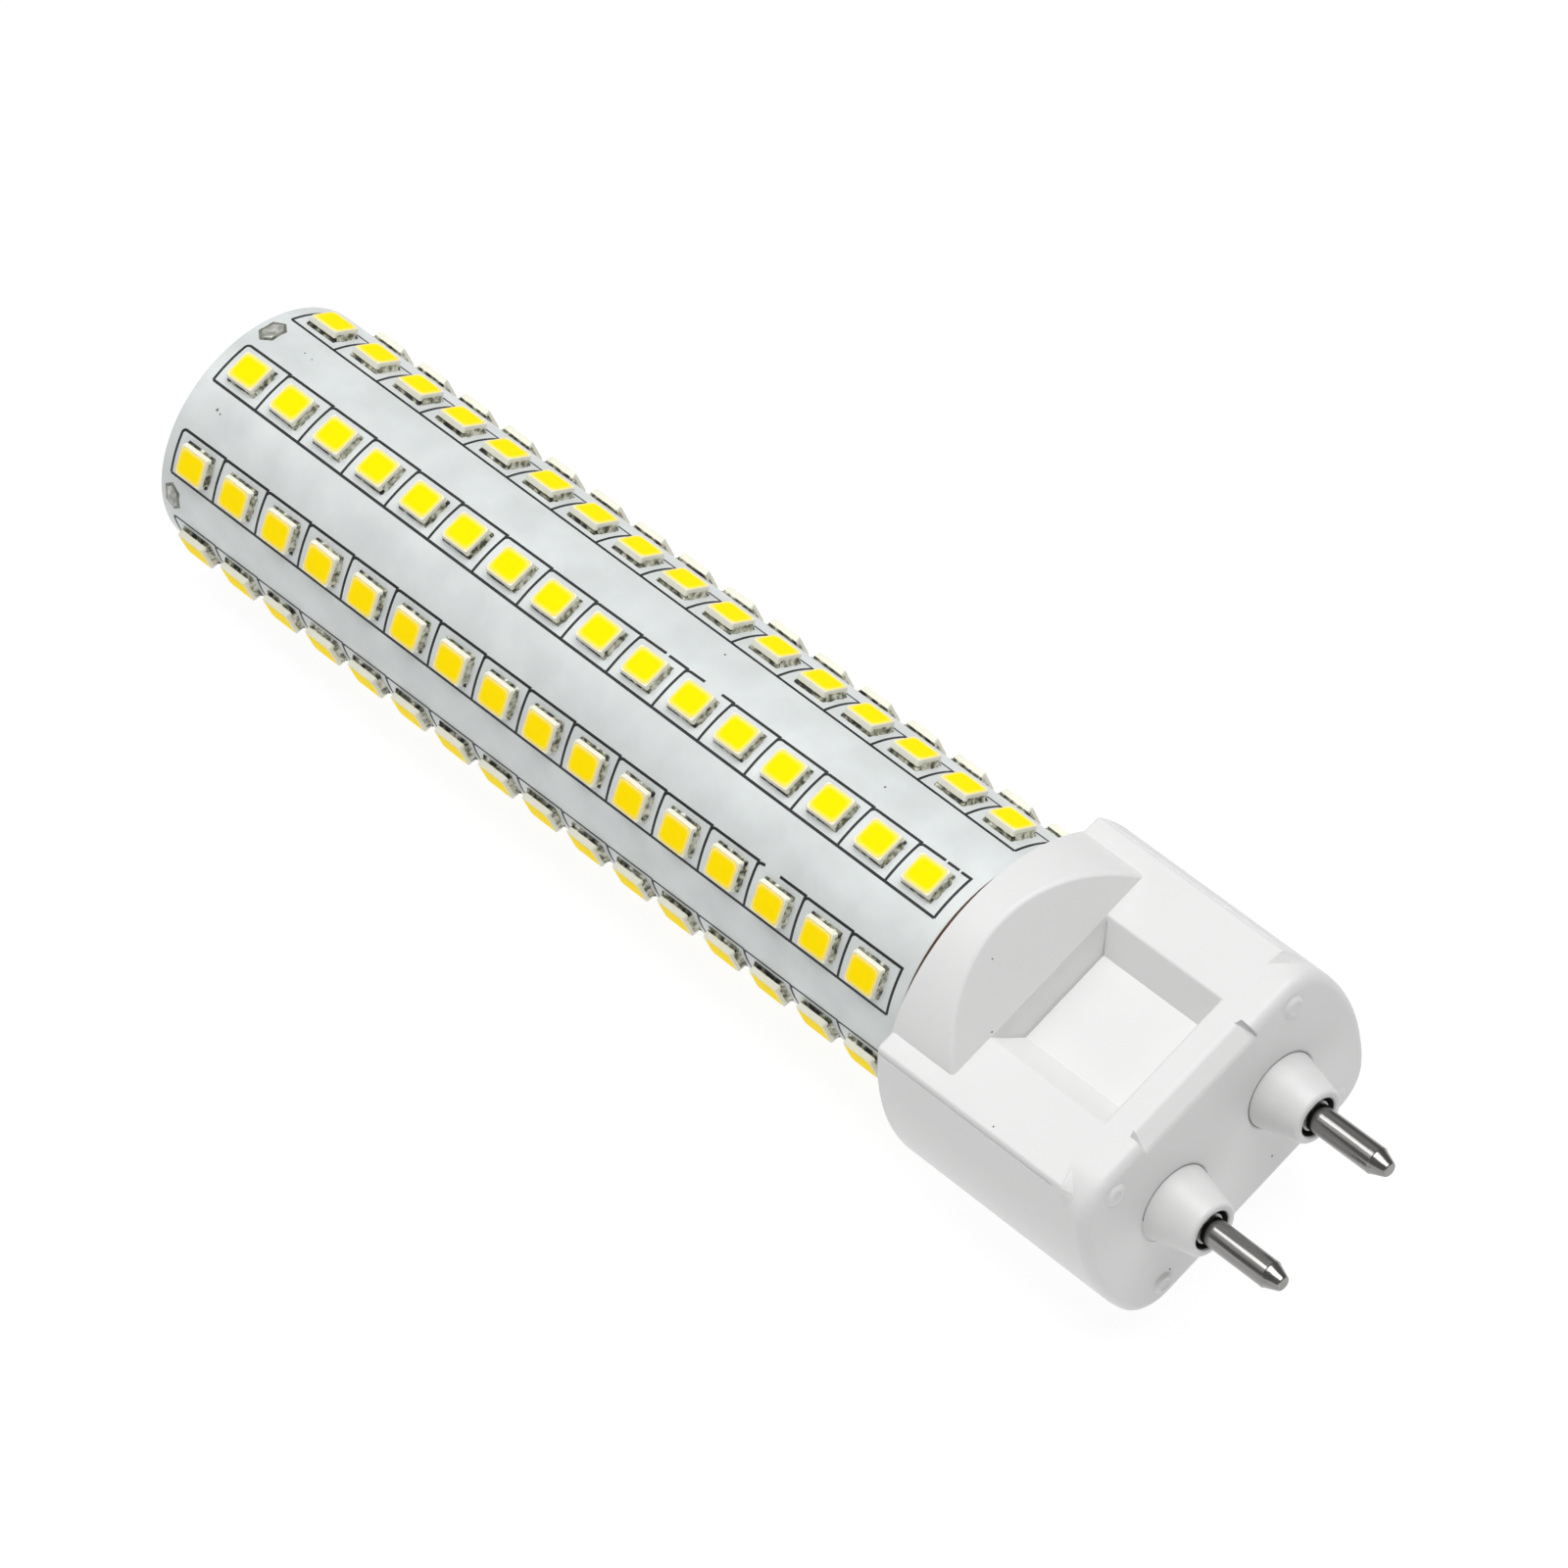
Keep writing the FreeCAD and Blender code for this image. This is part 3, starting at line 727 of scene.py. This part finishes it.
lead_profile = [
    (1.50, 0.02), (1.52, 0.42), (1.62, 0.43), (1.66, 0.36), (1.68, 0.2), (1.72, 0.11), (1.79, 0.05),
    (1.84, -0.04), (1.50, -0.04)]
lead_half_width, lead_steps, lead_edge_swell = 1.05, 8, 0.55
heel_z, toe_z, shoulder_y = 1.6, 1.64, 0.3


def package_loop(width, length, height, corner, notch_corner=None):
    """Rounded rectangle round the middle of a package; one corner may be cut deeper as a polarity mark."""
    points = []
    x, z = width / 2, length / 2
    for k, (sx, sz) in enumerate(((1, 1), (-1, 1), (-1, -1), (1, -1))):
        r = notch_corner if notch_corner and k == 0 else corner
        points += [(px, height, pz) for px, pz in
                   arc((sx * (x - r), sz * (z - r)), r, k * math.pi / 2, (k + 1) * math.pi / 2,
                       loop_corner_steps)]
    return points


def on_board(x):
    """Height of the rolled board's surface under a package, at a distance x from its middle."""
    return math.sqrt(board_r ** 2 - x ** 2) - led_seat_r - led_root


def led_package(chance):
    """Body with a draft, a rounded rim and a cup for the phosphor, on an uneven tinned lead frame. The body's
    foot and the frame take the lead frame's finish, whose near-black patches are partly flux and partly
    painted shade under the package.
    """
    bm = bmesh.new()
    skin = lofted(bm, [package_loop(*step) for step in package_steps])
    for k, face in enumerate(skin):
        face.material_index = package_finishes[k // loop_points]
    frame_loops = []
    for width, length, height in lead_frame_steps:
        loop = []
        for x, y, z in package_loop(width, length, height, lead_frame_corner):
            swell = chance.uniform(0.975, 1.02) if height != lead_frame_top else 1.0
            sag = on_board(x) if height is None else y + chance.uniform(-0.03, 0.02)
            loop.append((x * swell, sag, z * swell))
        frame_loops.append(loop)
    for face in lofted(bm, frame_loops):
        face.material_index = 1
    bmesh.ops.recalc_face_normals(bm, faces=bm.faces)
    return bm


def phosphor_window(chance):
    """Cast silicone, a touch proud in the middle, with less phosphor in it towards the rim that it wets."""
    bm = bmesh.new()
    crown = (1.2, 1.66, chance.uniform(0.785, 0.795), 0.3)
    skin = lofted(bm, [package_loop(*step) for step in window_steps + [crown]])
    for k, face in enumerate(skin):
        face.material_index = window_finishes[k // loop_points]
    bmesh.ops.recalc_face_normals(bm, faces=bm.faces)
    return bm


def soldered_leads(chance):
    """Lead at each end of one package, bent under it, with an uneven fillet of solder on its toe."""
    bm = bmesh.new()
    for end in (1, -1):
        rings = []
        for k in range(lead_steps + 1):
            x = -lead_half_width + 2 * lead_half_width * k / lead_steps
            swell = chance.uniform(0.75, 1.2) if 0 < k < lead_steps else lead_edge_swell
            ring = []
            for z, y in lead_profile:
                out = heel_z + (z - heel_z) * swell if z > toe_z else z
                high = y * (0.9 + 0.1 * swell) if y > shoulder_y else y * swell
                ring.append((x, on_board(x) if y < 0 else high, end * out))
            rings.append(ring)
        lofted(bm, rings)
    bmesh.ops.recalc_face_normals(bm, faces=bm.faces)
    return bm


def placed_row(row, makers, chance_seed):
    """Sixteen copies along one row, each a hair off its place, for each kind of mesh."""
    chance = random.Random(chance_seed)
    rows = [bmesh.new() for _ in makers]
    for k in range(leds_per_row):
        off = (chance.uniform(-place_error, place_error), chance.uniform(-place_error, place_error))
        skew = Matrix.Rotation(math.radians(chance.uniform(-skew_error, skew_error)), 4, "Y")
        seat = Matrix.Rotation(math.radians(row_angle * row), 4, "Z")
        seat = seat @ Matrix.Translation((off[0], led_seat_r, first_led_z + led_pitch * k + off[1])) @ skew
        for bm, maker in zip(rows, makers):
            made = maker(chance)
            bmesh.ops.transform(made, matrix=seat, verts=made.verts)
            mesh = bpy.data.meshes.new("scratch")
            made.to_mesh(mesh)
            made.free()
            bm.from_mesh(mesh)
            bpy.data.meshes.remove(mesh)
    return rows


package_white = finish("package_white", (0.83, 0.82, 0.69), 0.4, drift=0.06, grain=1500.0, bump=0.08)
# The lead frame's near-black patches are partly flux and partly painted shade in the slit under each package.
lead_frame_and_shade_tones = ((0.41, flux_and_painted_shade), (0.50, dull_tin), (0.57, olive_tin), (0.69, bright_tin))
lead_frame_and_shade = speckled("fluxed_lead_frame_and_painted_shade", lead_frame_and_shade_tones, 1700.0, 0.5, 0.1)
stained_rim = finish("stained_rim", (0.93, 0.84, 0.36), 0.5, drift=0.05, grain=1500.0, bump=0.06)
phosphor_tints = {"yellow": (1.0, 0.785, 0.0), "thin": (0.97, 0.785, 0.02), "thinner": (0.95, 0.785, 0.08),
                  "palest": (0.93, 0.79, 0.22)}
# Every phosphor also glows faintly orange. This is painted light, not a lit lamp: it keeps the windows in the
# shaded rows orange-yellow.
phosphors_with_painted_glow = []
for kind, tint in phosphor_tints.items():
    phosphors_with_painted_glow.append(finish(f"{kind}_phosphor", tint, 0.5, drift=0.03, grain=1800.0, bump=0.06,
                            Specular_IOR_Level=0.03, Emission_Color=(1.0, 0.3, 0.0, 1.0),
                            Emission_Strength=0.1))
for row in range(row_count):
    makers = [led_package, phosphor_window, soldered_leads]
    bodies, windows, leads = placed_row(row, makers, first_row_seed + row)
    name = f"row_{row + 1}"
    fitted(f"{name}_packages", bodies, "led_white", [package_white, lead_frame_and_shade, stained_rim],
           f"{name}_led_bodies", sharp=35)
    fitted(f"{name}_windows", windows, "phosphor", phosphors_with_painted_glow, f"{name}_phosphor", sharp=50)
    fitted(f"{name}_leads", leads, "solder", [tin], sharp=40)

# Specks: grains of dark dust, about a fifth of a millimetre across, that lie on the board and the base
# of a lamp that has been handled. Each is a low flake, sunk a little into the surface.
board_specks = [(113.96, 250.29, 0.15), (113.5, 249.4, 0.10), (42.10, 290.92, 0.11), (61.70, 296.76, 0.12),
                (111.9, 293.2, 0.09), (110.9, 292.6, 0.08)]
base_specks = [((-11.95, -flat_y, 14.7), (0, -1, 0), 0.09), ((2.93, 6.2, end_face_z), (0, 0, -1), 0.11),
               ((-8.89, 6.68, end_face_z), (0, 0, -1), 0.11)]
wall_specks = [(-6.2, -9.66, 0.09), (-2.39, -13.0, 0.08)]
flake_points, dust_seed = 9, 71
flake_steps = [(1.0, -0.03), (1.0, 0.005), (0.7, 0.02), (0.3, 0.028)]


def flake(bm, place, outward, size, chance):
    """Low uneven grain on a surface, sunk a little into it."""
    outward = Vector(outward).normalized()
    turn_up = outward.to_track_quat("Z", "Y").to_matrix()
    loops = []
    reach = [size * chance.uniform(0.65, 1.2) for _ in range(flake_points)]
    for share, height in flake_steps:
        loop = []
        for k, r in enumerate(reach):
            t = 2 * math.pi * k / len(reach)
            grain = Vector((share * r * math.cos(t), share * r * math.sin(t), height))
            loop.append(Vector(place) + turn_up @ grain)
        loops.append(loop)
    lofted(bm, loops)


def dust():
    """Flakes on the board, by (z, degrees, size), on the base and, by (x, y, size), on its leaning wall."""
    bm = bmesh.new()
    chance = random.Random(dust_seed)
    for z, degrees, size in board_specks:
        out = Vector((math.cos(math.radians(degrees)), math.sin(math.radians(degrees)), 0))
        flake(bm, out * board_r + Vector((0, 0, z)), out, size, chance)
    for place, out, size in base_specks:
        flake(bm, place, out, size, chance)
    for x, y, size in wall_specks:
        flake(bm, (x, y, wall_z(-y, wall_slope)), (0, -wall_slope, -1), size, chance)
    bmesh.ops.recalc_face_normals(bm, faces=bm.faces)
    return bm


dark_dust = finish("dark_dust", (0.14, 0.13, 0.115), 0.8, drift=0.4, grain=3000.0, bump=0.3)
fitted("dust_specks", dust(), "print_black", [dark_dust], sharp=60)

# Driver: a green board in the grooves of the base with its parts on both faces, and two wires to the
# far end. It is closed in by the base and the tube.
driver_finishes = {
    "driver_board": finish("green_laminate", (0.03, 0.13, 0.05), 0.4, drift=0.15, grain=500.0, bump=0.1),
    "pin_solder": tin,
    "fuse_resistor": finish("grey_green_lacquer", (0.12, 0.22, 0.18), 0.5, drift=0.15, grain=600.0, bump=0.1),
    "bridge_rectifier": finish("black_epoxy", (0.016, 0.016, 0.016), 0.55, drift=0.2, grain=900.0, bump=0.2),
    "input_capacitor": finish("ochre_box", (0.62, 0.34, 0.03), 0.35, drift=0.08, grain=500.0, bump=0.05),
    "choke_core": finish("sintered_ferrite", (0.03, 0.03, 0.032), 0.75, drift=0.25, grain=900.0, bump=0.3),
    "choke_winding": finish("enamelled_copper", (0.50, 0.17, 0.06), 0.3, drift=0.2, grain=900.0, bump=0.3,
                            Metallic=0.8),
    "bulk_capacitor": finish("dark_sleeve", (0.012, 0.013, 0.025), 0.3, drift=0.2, grain=400.0, bump=0.05),
    "feed_wire_plus": finish("red_insulation", (0.45, 0.015, 0.012), 0.4, drift=0.1, grain=600.0, bump=0.05),
    "feed_wire_minus": finish("black_insulation", (0.012, 0.012, 0.012), 0.4, drift=0.2, grain=600.0,
                              bump=0.05),
}
driver_finishes["driver_chip"] = driver_finishes["bridge_rectifier"]
for node, material in driver_finishes.items():
    part = frame["nodes"][node].data
    part.materials.clear()
    part.materials.append(material)

# Camera: a long lens from above the pins, looking along the lamp. Its place is in the lamp's own axes,
# and its focal length is in pixels of the square frame.
seen_from = Vector((-133.60, -562.33, -309.03))
aimed_at = Vector((1.86, -0.42, 55.57))
camera_up = Vector((0.7049, -0.4978, 0.5053))
focal_px, frame_px, sensor_mm = 8803, 1600, 36.0
away = (seen_from - aimed_at).normalized()
right = camera_up.cross(away).normalized()
turn = (lamp.to_3x3() @ Matrix((right, away.cross(right), away)).transposed()).normalized()
camera_data = bpy.data.cameras.new("camera")
camera_data.sensor_width = sensor_mm
camera_data.lens = focal_px / frame_px * sensor_mm
camera_data.clip_start = 0.01
camera = bpy.data.objects.new("camera", camera_data)
camera.matrix_world = Matrix.Translation(lamp @ seen_from) @ turn.to_4x4()
bpy.context.scene.collection.objects.link(camera)
bpy.context.scene.camera = camera

# Floor and light: a pale studio sheet under a broad soft box overhead, with a strip light and two weak
# fills beyond the far end, and a dim even sky.
floor_bm = bmesh.new()
bmesh.ops.create_grid(floor_bm, x_segments=8, y_segments=8, size=3.0)
floor_mesh = bpy.data.meshes.new("floor")
floor_bm.to_mesh(floor_mesh)
floor_bm.free()
floor = bpy.data.objects.new("floor", floor_mesh)
floor_mesh.materials.append(finish("pale_sheet", (0.12, 0.12, 0.12), 0.9, drift=0.005, grain=3.0,
                                   Emission_Color=(1.0, 1.0, 1.0, 1.0), Emission_Strength=0.9))
bpy.context.scene.collection.objects.link(floor)

world = bpy.context.scene.world or bpy.data.worlds.new("studio")
bpy.context.scene.world = world
world.use_nodes = True
sky = world.node_tree.nodes["Background"]
sky.inputs["Color"].default_value = (1.0, 1.0, 1.0, 1.0)
sky.inputs["Strength"].default_value = 0.22


def soft_box(name, place, size, watts):
    """Rectangular area light that faces the lamp, with its first side along the lamp."""
    data = bpy.data.lights.new(name, "AREA")
    data.shape = "RECTANGLE"
    data.size, data.size_y = size
    data.energy = watts
    light = bpy.data.objects.new(name, data)
    facing = Vector(place).normalized()
    side = Vector((0, 1, 0)).cross(facing).normalized()
    light.matrix_world = Matrix((side, facing.cross(side), facing)).transposed().to_4x4()
    light.location = place
    bpy.context.scene.collection.objects.link(light)


soft_box("key_light", (0.15, 0.0, 1.0), (0.8, 0.8), 8.8)
soft_box("strip_light", (-0.52, -0.23, 0.81), (0.5, 0.32), 1.8)
soft_box("left_fill", (-0.53, -0.57, 0.63), (0.5, 0.42), 0.45)
soft_box("right_fill", (-0.53, 0.39, 0.75), (0.5, 0.7), 0.32)
bpy.context.scene.view_settings.view_transform = "Standard"
